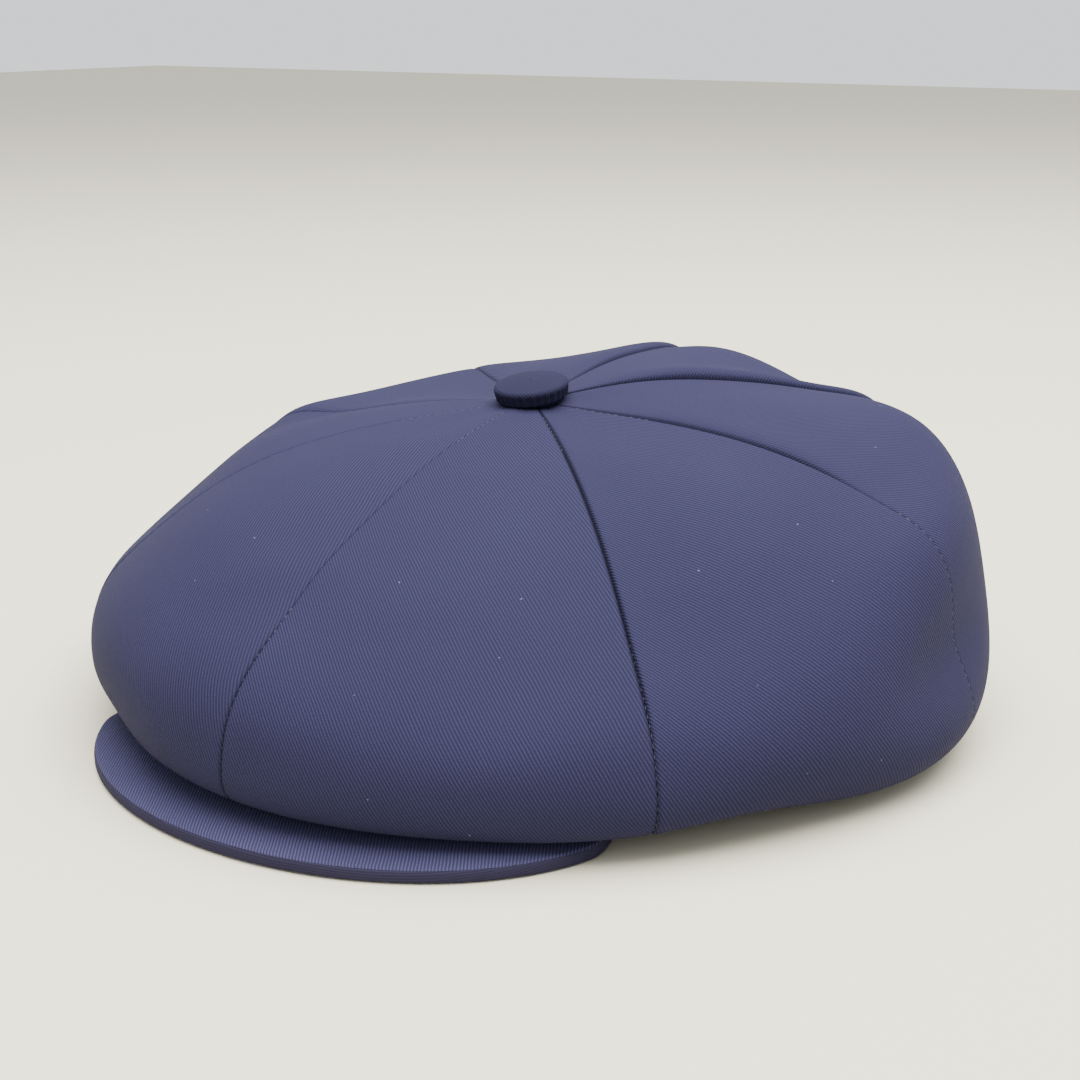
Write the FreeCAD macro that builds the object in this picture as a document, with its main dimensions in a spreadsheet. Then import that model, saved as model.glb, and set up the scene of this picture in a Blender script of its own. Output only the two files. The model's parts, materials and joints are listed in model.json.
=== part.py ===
import FreeCAD, Part
import Sketcher
import math
import os
from FreeCAD import Vector, Placement, Rotation

# Newsboy cap: eight twill gores with a lining, a covered button, a headband with a
# sweatband, and a stiffened brim that can be folded down.
# Frame: +Z up, the brim points to -Y and the wearer's left is +X. Everything is drawn
# round the button's axis, then moved so that the origin is the middle of the underside.

doc = FreeCAD.newDocument("newsboy_cap")

# ---- sizes -------------------------------------------------------------------------

sheet = doc.addObject("Spreadsheet::Sheet", "Sizes")

SIZES = {
    "crown_height": 92.8,          # top of the crown under the button
    "shank_hole_radius": 3.2,      # hole where the eight gores meet
    "cloth_thickness": 1.2,        # twill and its interlining
    "lining_thickness": 0.6,
    "layer_gap": 0.15,             # between two layers sewn together
    "gore_fullness": 1.5,          # how far a gore swells between its two seams
    "opening_half_width": 84.0,    # head opening, inside the sweatband
    "opening_half_length": 99.0,
    "opening_centre_y": -14.0,
    "band_tall": 30.0,
    "band_thickness": 1.6,
    "sweatband_thickness": 1.0,
    "sweatband_tall": 28.0,
    "band_front_lift": 8.0,        # the brim holds the front of the band off the table
    "gore_hem": 8.0,               # gores are sewn to the band this far above its edge
    "button_radius": 12.0,
    "button_tall": 6.2,
    "button_stand": 0.8,           # the cover's rim rests on the cloth
    "button_tilt_front": 9.0,      # degrees, the button lies flat on the sloping crown
    "button_tilt_right": 2.0,
    "button_cover_thickness": 0.9,
    "button_metal": 0.5,
    "washer_clearance": 1.9,
    "shank_radius": 2.4,
    "washer_radius": 7.0,
    "brim_half_width": 91.0,       # the outer edge of the brim is an oval
    "brim_half_length": 70.0,
    "brim_centre_x": 2.0,          # it sits a little to the wearer's left
    "brim_centre_y": -91.0,
    "brim_thickness": 4.2,
    "brim_corner_width": 5.0,
    "brim_cloth": 1.0,
    "brim_arch": 0.8,              # the brim is a little domed
    "brim_gap": 0.5,               # fold line between the brim and the band
    "brim_drop": 1.6,              # its inner edge hangs just below the band's
    "brim_edge_round": 0.1,        # its rounded edge rests on the table
    "cloth_over_brim": 1.3,
}

# Reach from the button and height above the table at five places down every seam.
SEAMS = ("front", "front_left", "left", "back_left",
         "back", "back_right", "right", "front_right")
PLACES = ("shoulder", "slope", "rim", "wall", "foot")
SEAM_SHAPE = {
    "front":       ((48, 87), (91, 73), (134, 52), (154, 24), (149, 11)),
    "front_left":  ((48, 86), (91, 70), (130, 46), (149, 22), (145, 7)),
    "left":        ((46, 92), (92, 86), (135, 66), (150, 41), (146, 6)),
    "back_left":   ((42, 98), (82, 95), (119, 86), (130, 56), (117, 5)),
    "back":        ((42, 97), (84, 96), (110, 89), (117, 55), (106, 5)),
    "back_right":  ((38, 89), (78, 86), (112, 79), (122, 45), (112, 5)),
    "right":       ((40, 88), (84, 77), (122, 60), (137, 36), (133, 5)),
    "front_right": ((40, 89), (89, 77), (127, 53), (142, 30), (134, 8)),
}

cells = dict(SIZES)
for seam in SEAMS:
    for place, (reach, height) in zip(PLACES, SEAM_SHAPE[seam]):
        cells[seam + "_" + place + "_reach"] = reach
        cells[seam + "_" + place + "_height"] = height
for row, (name, value) in enumerate(cells.items(), start=1):
    sheet.set("A%d" % row, name)
    sheet.set("B%d" % row, str(value))
    sheet.setAlias("B%d" % row, name)
doc.recompute()


def size(name):
    """One number of the sheet, in millimetres."""
    return float(sheet.get(name))


# ---- the crown as a surface --------------------------------------------------------

def around(name, azimuth):
    """A size that changes round the crown: a smooth curve through its eight values."""
    total = 0.0
    for number, seam in enumerate(SEAMS):
        turn = math.radians(azimuth - 45 * number)
        if abs(math.sin(turn / 2)) < 1e-9:
            return size(seam + "_" + name)
        share = math.sin(4 * turn) / (8 * math.tan(turn / 2))
        total += share * size(seam + "_" + name)
    return total


def direction(azimuth):
    """Horizontal unit vector; 0 is the front and 90 the wearer's left."""
    angle = math.radians(azimuth)
    return Vector(math.sin(angle), -math.cos(angle), 0)


def lift(y):
    """How far the band's lower edge is off the table at this place."""
    back = size("opening_centre_y") + size("opening_half_length")
    length = 2 * size("opening_half_length")
    return size("band_front_lift") * (back - y) / length


def band_reach(azimuth, outward, above_edge):
    """Distance from the button axis to the band, this far outside the opening."""
    across = size("opening_half_width") + outward
    along = size("opening_half_length") + outward
    way = direction(azimuth)
    lean = size("band_front_lift") / (2 * size("opening_half_length"))
    centre = size("opening_centre_y") + lean * above_edge
    a = (way.x / across) ** 2 + (way.y / along) ** 2
    b = -2 * way.y * centre / along ** 2
    c = (centre / along) ** 2 - 1
    return (-b + math.sqrt(b * b - 4 * a * c)) / (2 * a)


def brim_edge(azimuth):
    """Distance from the button axis to the outer edge of the brim."""
    way = direction(azimuth)
    across = size("brim_half_width")
    along = size("brim_half_length")
    middle_x, middle_y = size("brim_centre_x"), size("brim_centre_y")
    a = (way.x / across) ** 2 + (way.y / along) ** 2
    b = -2 * (way.x * middle_x / across ** 2 + way.y * middle_y / along ** 2)
    c = (middle_x / across) ** 2 + (middle_y / along) ** 2 - 1
    return (-b + math.sqrt(max(b * b - 4 * a * c, 0))) / (2 * a)


def brim_span(azimuth):
    """Reach of the brim's inner and outer edge, and its middle height at both."""
    outside = size("sweatband_thickness") + size("band_thickness") + size("layer_gap")
    inner = band_reach(azimuth, outside + size("brim_gap"), 0)
    corner = min(max((abs(azimuth) - 39) / 13, 0), 1)
    width = (brim_edge(azimuth) - inner) * (1 - corner * corner * (3 - 2 * corner))
    outer = inner + max(width, size("brim_corner_width"))
    half = size("brim_thickness") / 2
    inner_height = lift(inner * direction(azimuth).y) - size("brim_drop") + half
    blend = min(max((abs(azimuth) - 38) / 14, 0), 1)
    rest = half - size("brim_edge_round")
    outer_height = rest + (inner_height - rest) * blend * blend * (3 - 2 * blend)
    return inner, outer, inner_height, outer_height


def brim_top(azimuth, reach):
    """Height of the brim's upper face, for the cloth that lies over it."""
    inner, outer, inner_height, outer_height = brim_span(azimuth)
    share = min(max((reach - inner) / max(outer - inner, 1), 0), 1)
    arch = size("brim_arch") * math.sin(math.pi * share) * min(1, (outer - inner) / 30)
    middle = inner_height + (outer_height - inner_height) * share
    return middle + arch + size("brim_thickness") / 2


def gore_line(azimuth, fullness=0.0):
    """Points (reach, height) down the outside of the crown, from the button to the band."""
    line = [(size("shank_hole_radius"), size("crown_height"))]
    for place in PLACES:
        swell = fullness if place in ("slope", "rim", "wall") else 0.0
        reach = around(place + "_reach", azimuth) + swell
        height = around(place + "_height", azimuth) + (swell if place == "slope" else 0)
        line.append((reach, height))
    foot_reach, foot_height = line[-1]
    outside = size("sweatband_thickness") + size("band_thickness") + 2 * size("layer_gap")
    hem_reach = band_reach(azimuth, outside, size("gore_hem"))
    hem_height = lift(hem_reach * direction(azimuth).y) + size("gore_hem")
    for share, drop in ((0.12, 1.2), (0.45, 0.6), (0.75, -2.0)):
        reach = foot_reach + (hem_reach - foot_reach) * share
        height = max(foot_height - drop, 3.0)
        from_front = (azimuth + 180) % 360 - 180
        if abs(from_front) < 80:
            beyond = max(reach - brim_span(from_front)[1], 0)
            over = brim_top(from_front, reach) + size("cloth_over_brim") - 0.4 * beyond
            height = max(height, over)
        line.append((reach, height))
    line.append((hem_reach, hem_height))
    return line


def spline(points):
    """Smooth edge through points."""
    curve = Part.BSplineCurve()
    curve.interpolate(points)
    return curve


def layer_section(azimuth, fullness, depth, thickness):
    """Closed wire of one cloth layer in the upright plane through the button."""
    way = direction(azimuth)
    outline = spline([way * r + Vector(0, 0, z) for r, z in gore_line(azimuth, fullness)])
    sideways = way.cross(Vector(0, 0, 1))
    steps = 22
    start, end = outline.FirstParameter, outline.LastParameter
    outer, inner = [], []
    for step in range(steps + 1):
        place = start + (end - start) * step / steps
        tangent = outline.tangent(place)[0]
        inward = tangent.cross(sideways).normalize()
        if inward.dot(way * -1 - Vector(0, 0, 1)) < 0 and step < steps / 2:
            inward = inward * -1
        outer.append(outline.value(place) + inward * depth)
        inner.append(outline.value(place) + inward * (depth + thickness))
    top = Part.makeLine(inner[0], outer[0])
    hem = Part.makeLine(outer[-1], inner[-1])
    outside = spline(outer).toShape()
    inside = spline(list(reversed(inner))).toShape()
    return Part.Wire([top, outside, hem, inside])


def gore(number, depth, thickness):
    """Solid of one gore layer between two seams."""
    sections = []
    for part in range(5):
        azimuth = 45 * number + 45 * part / 4
        fullness = size("gore_fullness") * math.sin(math.pi * part / 4)
        sections.append(layer_section(azimuth, fullness, depth, thickness))
    return Part.makeLoft(sections, True, False)


def add_shape(name, shape):
    """A sub-part whose free curves no sketch feature can give."""
    feature = doc.addObject("Part::Feature", name)
    feature.Shape = shape
    feature.Label = name
    feature.Placement = Placement()
    return feature


nodes = []
GORES = ("front_to_left", "left_front", "left_back", "back_to_left",
         "back_to_right", "right_back", "right_front", "front_to_right")
lining_depth = size("cloth_thickness") + size("layer_gap")
for number, place in enumerate(GORES):
    cloth = gore(number, 0.0, size("cloth_thickness"))
    nodes.append(add_shape("gore_" + place, cloth))
for number, place in enumerate(GORES):
    cloth = gore(number, lining_depth, size("lining_thickness"))
    nodes.append(add_shape("lining_" + place, cloth))

# ---- the brim ----------------------------------------------------------------------

def brim_section(azimuth, low, high, end_low, end_high, inset):
    """Closed wire of one brim layer; low and high are measured from its middle surface."""
    way = direction(azimuth)
    inner, outer, inner_height, outer_height = brim_span(azimuth)
    width = outer - inner
    nose = size("brim_thickness") / 2 * min(1, width / 12)

    def at(share, offset, back=0.0):
        reach = inner + width * share - back
        arch = size("brim_arch") * math.sin(math.pi * share) * min(1, width / 30)
        height = inner_height + (outer_height - inner_height) * share + arch
        return way * reach + Vector(0, 0, height + offset)

    def face(offset, end_offset, step_back):
        flat = 1 - (nose + step_back) / width
        points = [at(0, offset), at(flat * 0.33, offset), at(flat * 0.66, offset), at(flat, offset)]
        points.append(at(1, offset * 0.62 + end_offset * 0.38, nose * 0.3 + step_back))
        points.append(at(1, end_offset, step_back))
        return points

    upper = face(high, end_high, inset[1])
    lower = face(low, end_low, inset[0])
    tip = Part.makeLine(upper[-1], lower[-1])
    root = Part.makeLine(lower[0], upper[0])
    return Part.Wire([spline(upper).toShape(), tip, spline(lower[::-1]).toShape(), root])


def brim_layer(low, high, end_low, end_high, inset):
    """Solid of one brim layer from corner to corner."""
    turns = (-50.5, -46, -40, -32, -22, -11, 0, 11, 22, 32, 40, 46, 50.5)
    sections = [brim_section(turn, low, high, end_low, end_high, inset) for turn in turns]
    return Part.makeLoft(sections, True, False)


half = size("brim_thickness") / 2
cloth = size("brim_cloth")
gap = size("layer_gap")
nodes.append(add_shape("brim_cover_top", brim_layer(
    half - cloth, half, gap / 2, gap / 2, (cloth, 0))))
nodes.append(add_shape("brim_board", brim_layer(
    -(half - cloth - 2 * gap), half - cloth - 2 * gap, -0.3, 0.3, (cloth + 0.5, cloth + 0.5))))
nodes.append(add_shape("brim_cover_bottom", brim_layer(
    -half, -(half - cloth), -gap / 2, -gap / 2, (0, cloth))))

# ---- headband and sweatband --------------------------------------------------------

def origin_plane(body, role):
    """One of the body's own base planes."""
    for item in body.Origin.OriginFeatures:
        if item.Role == role:
            return item
    raise ValueError(role)


def new_sketch(body, name, role):
    sketch = body.newObject("Sketcher::SketchObject", name)
    sketch.AttachmentSupport = [(origin_plane(body, role), "")]
    sketch.MapMode = "FlatFace"
    return sketch


def ring(name, inside, thickness, tall, raised):
    """Upright oval ring that stands on the tilted plane of the head opening."""
    body = doc.addObject("PartDesign::Body", name)
    sketch = new_sketch(body, name + "_outline", "XY_Plane")
    for outward in (inside, inside + thickness):
        across = size("opening_half_width") + outward
        along = size("opening_half_length") + outward
        oval = Part.Ellipse(Vector(0, along, 0), Vector(across, 0, 0), Vector(0, 0, 0))
        edge = sketch.addGeometry(oval, False)
        sketch.addConstraint(Sketcher.Constraint("Block", edge))
    pad = body.newObject("PartDesign::Pad", name + "_pad")
    pad.Profile = sketch
    pad.setExpression("Length", "Sizes." + tall)
    body.Label = name
    slope = math.degrees(math.atan2(size("band_front_lift"), 2 * size("opening_half_length")))
    middle = size("opening_centre_y")
    body.Placement = Placement(Vector(0, middle, lift(middle) + raised),
                               Rotation(Vector(1, 0, 0), -slope))
    return body


nodes.append(ring("headband", size("sweatband_thickness") + gap,
                  size("band_thickness"), "band_tall", 0.0))
nodes.append(ring("sweatband", 0.0, size("sweatband_thickness"), "sweatband_tall", 0.5))

# ---- covered button ----------------------------------------------------------------

def turned(name, outline):
    """Round piece: an outline of (reach, height) points turned about the button axis."""
    body = doc.addObject("PartDesign::Body", name)
    sketch = new_sketch(body, name + "_outline", "XZ_Plane")
    corners = [Vector(r, z, 0) for r, z in outline]
    for start, end in zip(corners, corners[1:] + corners[:1]):
        edge = sketch.addGeometry(Part.LineSegment(start, end), False)
        sketch.addConstraint(Sketcher.Constraint("Block", edge))
    turn = body.newObject("PartDesign::Revolution", name + "_turn")
    turn.Profile = sketch
    turn.ReferenceAxis = (sketch, ["V_Axis"])
    turn.Angle = 360
    body.Label = name
    forward = Rotation(Vector(1, 0, 0), size("button_tilt_front"))
    sideways = Rotation(Vector(0, 1, 0), -size("button_tilt_right"))
    body.Placement = Placement(Vector(0, 0, size("crown_height")), forward * sideways)
    return body


def dome(inset):
    """Outline of the button from its middle round to its underside, moved inwards."""
    half = size("button_tall") / 2
    middle = size("button_stand") + half
    rows = [(0, middle + half - inset)]
    for angle in range(75, -61, -15):
        turn = math.radians(angle)
        reach = size("button_radius") - half + (half - inset) * math.cos(turn)
        rows.append((reach, middle + (half - inset) * math.sin(turn) * 0.94))
    return rows


skin = size("button_cover_thickness")
metal = skin + gap + size("button_metal")
nodes.append(turned("button_cover", dome(0) + dome(skin)[::-1]))
nodes.append(turned("button_shell", dome(skin + gap) + dome(metal)[::-1]))

plate = size("button_radius") - size("button_tall") / 2 - 0.3
stand = size("button_stand")
shank = size("shank_radius")
clinch = shank + 1.4
cloth_stack = size("cloth_thickness") + gap + size("lining_thickness")
under = -(cloth_stack + size("washer_clearance"))
nodes.append(turned("button_back", [
    (0, stand + 1.2), (plate, stand + 1.2), (plate, stand + 0.5), (shank, stand + 0.5),
    (shank, under - 0.7), (clinch, under - 0.7), (clinch, under - 1.4), (0, under - 1.4)]))
washer = size("washer_radius")
nodes.append(turned("button_washer", [
    (shank + 0.2, under - 0.6), (washer, under - 0.6), (washer, under), (shank + 0.2, under)]))

# ---- check and write ---------------------------------------------------------------

doc.recompute()
whole = FreeCAD.BoundBox()
for node in nodes:
    whole.add(node.Shape.optimalBoundingBox(False, False))
shift = Vector(-whole.Center.x, -whole.Center.y, -whole.ZMin)
for node in nodes:
    node.Placement = Placement(shift, Rotation()).multiply(node.Placement)
doc.recompute()
print("button axis at x %.2f, y %.2f, table raised %.2f" % (shift.x, shift.y, shift.z))
for item in doc.Objects:
    if "Invalid" in item.State or "Error" in item.State:
        raise RuntimeError("broken feature: " + item.Name)
os.makedirs("parts", exist_ok=True)
for node in nodes:
    if node.Shape.isNull() or not node.Shape.isValid():
        raise RuntimeError("bad shape: " + node.Label)
    node.Shape.exportStep("parts/" + node.Label + ".step")
    box = node.Shape.BoundBox
    print("%-24s %8.0f mm3  x %.1f..%.1f  y %.1f..%.1f  z %.1f..%.1f" % (
        node.Label, node.Shape.Volume, box.XMin, box.XMax, box.YMin, box.YMax,
        box.ZMin, box.ZMax))
print(len(nodes), "pieces")
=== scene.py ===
import json
import math

import bpy
import numpy as np
from mathutils import Matrix, Vector
from mathutils.bvhtree import BVHTree

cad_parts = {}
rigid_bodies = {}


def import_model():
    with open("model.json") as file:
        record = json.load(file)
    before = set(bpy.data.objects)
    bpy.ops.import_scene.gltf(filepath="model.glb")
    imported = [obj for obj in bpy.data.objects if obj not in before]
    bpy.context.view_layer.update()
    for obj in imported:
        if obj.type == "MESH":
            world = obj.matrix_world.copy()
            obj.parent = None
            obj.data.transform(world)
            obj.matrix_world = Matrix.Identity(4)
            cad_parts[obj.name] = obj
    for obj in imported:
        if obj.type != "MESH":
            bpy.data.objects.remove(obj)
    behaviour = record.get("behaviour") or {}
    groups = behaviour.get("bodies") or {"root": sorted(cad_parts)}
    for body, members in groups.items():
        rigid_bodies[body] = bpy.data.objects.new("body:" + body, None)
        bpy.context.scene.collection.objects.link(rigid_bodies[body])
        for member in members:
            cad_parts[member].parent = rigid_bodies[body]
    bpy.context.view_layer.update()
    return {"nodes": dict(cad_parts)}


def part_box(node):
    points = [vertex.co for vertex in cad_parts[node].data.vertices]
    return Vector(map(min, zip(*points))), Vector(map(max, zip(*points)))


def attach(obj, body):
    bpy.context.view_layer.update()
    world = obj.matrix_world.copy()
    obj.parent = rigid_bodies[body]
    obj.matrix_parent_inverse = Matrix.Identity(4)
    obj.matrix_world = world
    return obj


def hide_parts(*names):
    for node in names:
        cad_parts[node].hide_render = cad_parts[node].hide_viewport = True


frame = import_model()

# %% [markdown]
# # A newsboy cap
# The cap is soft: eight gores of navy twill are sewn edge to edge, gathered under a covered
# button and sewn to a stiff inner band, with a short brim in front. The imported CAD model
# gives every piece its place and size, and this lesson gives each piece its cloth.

MM = 0.001
GORES = ("front_to_left", "left_front", "left_back", "back_to_left",
         "back_to_right", "right_back", "right_front", "front_to_right")


# %% [markdown]
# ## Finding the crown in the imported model
# The eight gores meet in upright planes through the button, so the first thing to find is
# the button's axis. The crown is then read as a set of lines that run from the button, out
# over the rim and back under to the band. Each line is found by shooting rays inwards from
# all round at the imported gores. Slow waves round the crown are kept and the small flats
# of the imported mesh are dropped, so the cloth comes out smooth but in the same place.

# %% The button's axis and the band's oval
AXIS_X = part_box("gore_front_to_left")[0].x
AXIS_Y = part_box("gore_left_back")[0].y
band_low, band_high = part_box("headband")
BAND_X = (band_low.x + band_high.x) / 2
BAND_Y = (band_low.y + band_high.y) / 2
BAND_HALF_X = (band_high.x - band_low.x) / 2
BAND_HALF_Y = (band_high.y - band_low.y) / 2
BAND_LIFT = 8 * MM
print("button axis, mm:", round(AXIS_X / MM, 1), round(AXIS_Y / MM, 1))


def heading(azimuth):
    """Unit vector away from the button: 0 is the front, 90 the wearer's left."""
    angle = np.radians(azimuth)
    return np.sin(angle), -np.cos(angle)


def band_reach(azimuth, inset=0.0):
    """Distance from the button's axis to the band's outer face."""
    way_x, way_y = heading(azimuth)
    across, along = BAND_HALF_X - inset, BAND_HALF_Y - inset
    off_x, off_y = AXIS_X - BAND_X, AXIS_Y - BAND_Y
    a = (way_x / across) ** 2 + (way_y / along) ** 2
    b = 2 * (way_x * off_x / across ** 2 + way_y * off_y / along ** 2)
    c = (off_x / across) ** 2 + (off_y / along) ** 2 - 1
    return (-b + np.sqrt(b * b - 4 * a * c)) / (2 * a)


def band_edge(azimuth):
    """Height of the band's lower edge, which the brim lifts at the front."""
    y = AXIS_Y + heading(azimuth)[1] * band_reach(azimuth)
    return BAND_LIFT * (band_high.y - y) / (band_high.y - band_low.y)


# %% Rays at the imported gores
def tree_of(*nodes):
    """Something rays can be shot at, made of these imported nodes."""
    points, faces = [], []
    for name in nodes:
        mesh = frame["nodes"][name].data
        faces += [[len(points) + i for i in face.vertices] for face in mesh.polygons]
        points += [vertex.co.copy() for vertex in mesh.vertices]
    return BVHTree.FromPolygons(points, faces)


crown_tree = tree_of(*["gore_" + place for place in GORES])
STATIONS = 241
LINES = 72
OUTSIDE = 250 * MM          # rays start this far out, well clear of the cap
NEAR_AXIS = 3.4 * MM        # the lines start here, under the button
HEART_HEIGHT = 45 * MM      # and fan out from a point inside at this height
HEM_RAISED = 8 * MM         # they end this far above the band's lower edge
LEVEL_START = 400 * MM


def outermost(azimuth, height):
    """Reach of the crown's outside at this height."""
    way_x, way_y = heading(azimuth)
    start = Vector((AXIS_X + way_x * LEVEL_START, AXIS_Y + way_y * LEVEL_START, height))
    hit = crown_tree.ray_cast(start, Vector((-way_x, -way_y, 0)))[0]
    return LEVEL_START - (hit - start).length


def measured_line(azimuth):
    """Reach and height of the crown's outside, from the button to the band."""
    way_x, way_y = heading(azimuth)
    heart = np.array([0.6 * outermost(azimuth, HEART_HEIGHT), HEART_HEIGHT])
    top = np.array([NEAR_AXIS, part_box("gore_front_to_left")[1].z])
    hem = np.array([band_reach(azimuth), band_edge(azimuth) + HEM_RAISED])
    first = math.atan2(*(top - heart)[::-1])
    last = math.atan2(*(hem - heart)[::-1])
    found = []
    for turn in np.linspace(first, last, STATIONS):
        out = np.array([math.cos(turn), math.sin(turn)])
        far = heart + out * OUTSIDE
        start = Vector((AXIS_X + way_x * far[0], AXIS_Y + way_y * far[0], far[1]))
        inwards = Vector((-way_x * out[0], -way_y * out[0], -out[1]))
        hit = crown_tree.ray_cast(start, inwards)[0]
        outside = hit is not None and (hit - start).length < OUTSIDE
        found.append(OUTSIDE - (hit - start).length if outside else np.nan)
    found[-1] = np.hypot(*(hem - heart))
    found = np.array(found)
    known = ~np.isnan(found)
    steps = np.arange(STATIONS)
    found = np.interp(steps, steps[known], found[known])
    turns = np.linspace(first, last, STATIONS)
    return heart[0] + found * np.cos(turns), heart[1] + found * np.sin(turns)


# %% Smooth the readings into one crown surface
def soften(rows, width):
    """Average of neighbours down each line; the ends stay where they are."""
    reach = int(3 * width)
    weights = np.exp(-0.5 * (np.arange(-reach, reach + 1) / width) ** 2)
    weights /= weights.sum()
    padded = np.pad(rows, ((0, 0), (reach, reach)), mode="reflect", reflect_type="odd")
    return np.array([np.convolve(row, weights, mode="valid") for row in padded])


FIRST_LINE = 2.5
azimuths = FIRST_LINE + np.arange(LINES) * 360 / LINES
readings = [measured_line(a) for a in azimuths]
crown_reach = soften(np.array([r for r, _ in readings]), 2.0)
crown_height = soften(np.array([z for _, z in readings]), 2.0)
WAVES = 14
reach_waves = np.fft.rfft(crown_reach, axis=0)[:WAVES] / LINES
height_waves = np.fft.rfft(crown_height, axis=0)[:WAVES] / LINES


def crown_line(azimuth):
    """Reach and height down the crown at any azimuth, from the kept waves."""
    turn = math.radians(azimuth - FIRST_LINE)
    order = np.arange(WAVES)
    swing = np.exp(1j * order * turn) * np.where(order == 0, 1, 2)
    return (np.real(swing @ reach_waves), np.real(swing @ height_waves))


front = crown_line(0.0)
print("front line reaches, mm:", round(front[0].max() / MM, 1))


# %% [markdown]
# ## Cloth pieces as closed thin solids
# A gore could be a plane with a Solidify modifier. Here each piece is laid out as a grid of
# points instead, because a grid also carries its own flat pattern: every point knows where
# it lay on the cloth before sewing, in millimetres, and the weave is drawn from that. The
# helper below gives any grid a thickness, closes its rim and keeps the pattern as a UV map.

# %% Grid of points to cloth piece
def grid_normals(surface, ring):
    """Unit normals of a grid of points, by the slopes along its rows and columns."""
    down = np.gradient(surface, axis=0)
    if ring:
        wide = np.concatenate([surface[:, -2:-1], surface, surface[:, 1:2]], axis=1)
        across = np.gradient(wide, axis=1)[:, 1:-1]
    else:
        across = np.gradient(surface, axis=1)
    normal = np.cross(down, across)
    length = np.linalg.norm(normal, axis=2, keepdims=True)
    return normal / np.maximum(length, 1e-12)


def cloth_piece(name, surface, pattern, thickness, ring=False, marks=None):
    """Mesh of a cloth layer: its outer face is the grid, and the cloth lies inside it.
    A ring's last column repeats its first."""
    normal = grid_normals(surface, ring)
    inside = surface - normal * thickness
    rows, cols = surface.shape[:2]
    kept = cols - 1 if ring else cols
    points = np.concatenate([surface[:, :kept].reshape(-1, 3), inside[:, :kept].reshape(-1, 3)])
    half = rows * kept

    def corner(i, j, layer):
        return layer * half + i * kept + j % kept

    faces, places = [], []
    for i in range(rows - 1):
        for j in range(cols - 1):
            ring_of = [(i, j), (i + 1, j), (i + 1, j + 1), (i, j + 1)]
            faces.append([corner(a, b, 0) for a, b in ring_of])
            places += ring_of
            faces.append([corner(a, b, 1) for a, b in ring_of[::-1]])
            places += ring_of[::-1]
    for j in range(cols - 1):
        for i, ends in ((0, ((0, j + 1), (0, j))), (rows - 1, ((0, j), (0, j + 1)))):
            first, second = ends[0][1], ends[1][1]
            rim = [(i, second, 0), (i, first, 0), (i, first, 1), (i, second, 1)]
            faces.append([corner(*place) for place in rim])
            places += [(a, b) for a, b, _ in rim]
    if not ring:
        for i in range(rows - 1):
            for j, (first, second) in ((0, (i, i + 1)), (cols - 1, (i + 1, i))):
                rim = [(second, j, 0), (first, j, 0), (first, j, 1), (second, j, 1)]
                faces.append([corner(*place) for place in rim])
                places += [(a, b) for a, b, _ in rim]
    mesh = bpy.data.meshes.new(name)
    mesh.from_pydata(points.tolist(), [], faces)
    uv = mesh.uv_layers.new(name="pattern_mm")
    places = np.array(places)
    uv.data.foreach_set("uv", pattern[places[:, 0], places[:, 1]].astype(np.float32).ravel())
    # marks, when given, is painted seam shade: a darkening of the colour along each seam's groove,
    # kept as the point attribute seam_shade
    if marks is not None:
        kept_marks = marks[:, :kept].ravel()
        layer = mesh.attributes.new("seam_shade", "FLOAT", "POINT")
        layer.data.foreach_set("value", np.concatenate([kept_marks, kept_marks]).astype(np.float32))
    mesh.polygons.foreach_set("use_smooth", [True] * len(mesh.polygons))
    mesh.set_sharp_from_angle(angle=math.radians(50))
    mesh.update()
    piece = bpy.data.objects.new(name, mesh)
    bpy.context.scene.collection.objects.link(piece)
    return piece


# %% [markdown]
# ## The eight gores
# Each gore runs from the button to the band between two seams. Sewing makes the character
# of this cap: the seam sinks as a narrow groove, and where the cloth is pushed together one
# side rolls up beside it as a soft lip. The front seam lies almost flat, the one beside it
# is a deep line, and the three towards the back carry rolled lips that throw a dark shadow.
# A cloth simulation could find such folds, but not these ones, so each groove, lip, swell
# and dent is a displacement of the crown surface instead, given in millimetres.

# %% How each seam looks
# groove depth near the button and near the band, distance from the button where it
# changes, lip on the side before it, lip on the side after it, lip width, where the lip
# fades, all in mm; seams go round from the front towards the wearer's left
SEAM_LOOK = (
    (0.08, 0.38, 135, 0.00, 0.05, 3.0, 240),
    (0.80, 0.32, 150, 0.20, 0.25, 3.0, 240),
    (0.45, 0.12, 105, 0.05, 1.20, 5.0, 84),
    (1.00, 0.40, 150, 0.00, 2.60, 4.5, 150),
    (0.90, 0.35, 120, 0.05, 2.20, 5.5, 110),
    (0.35, 0.25, 120, 0.60, 0.20, 6.0, 100),
    (0.15, 0.40, 120, 0.80, 0.10, 5.0, 120),
    (0.08, 0.40, 120, 0.20, 0.05, 4.0, 200),
)
# azimuth, distance from the button, spread both ways and height of the crown's soft
# swells and dents
SWELLS = (
    (168, 88, 9, 18, 1.5),
    (146, 101, 12, 20, -5.9),
    (205, 95, 16, 30, -3.0),
    (266, 98, 14, 16, 4.5),
    (296, 126, 13, 20, -4.0),
    (320, 148, 12, 18, 0.5),
    (337, 178, 10, 16, -2.0),
    (119, 124, 12, 22, 3.4),
    (60, 188, 12, 12, -2.4),
    (82, 196, 10, 12, 1.2),
    (12, 186, 30, 9, 1.8),
    (22, 160, 16, 26, -1.6),
    (86, 168, 14, 14, -5.0),
    (94, 136, 16, 14, 3.2),
    (-1, 128, 7, 14, -1.3),
    (-8, 118, 6, 12, 0.9),
)
STITCH = 2.8        # from one stitch to the next
GROOVE = 0.62       # half the width of a seam's groove


def fade(value, start, end):
    """1 before start, 0 after end, and smooth between."""
    share = np.clip((value - start) / (end - start), 0, 1)
    return 1 - share * share * (3 - 2 * share)


def lip(distance, width):
    """A bump that starts at nothing on the seam and is highest one width away."""
    ratio = distance / width
    return ratio * np.exp(1 - ratio)


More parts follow.
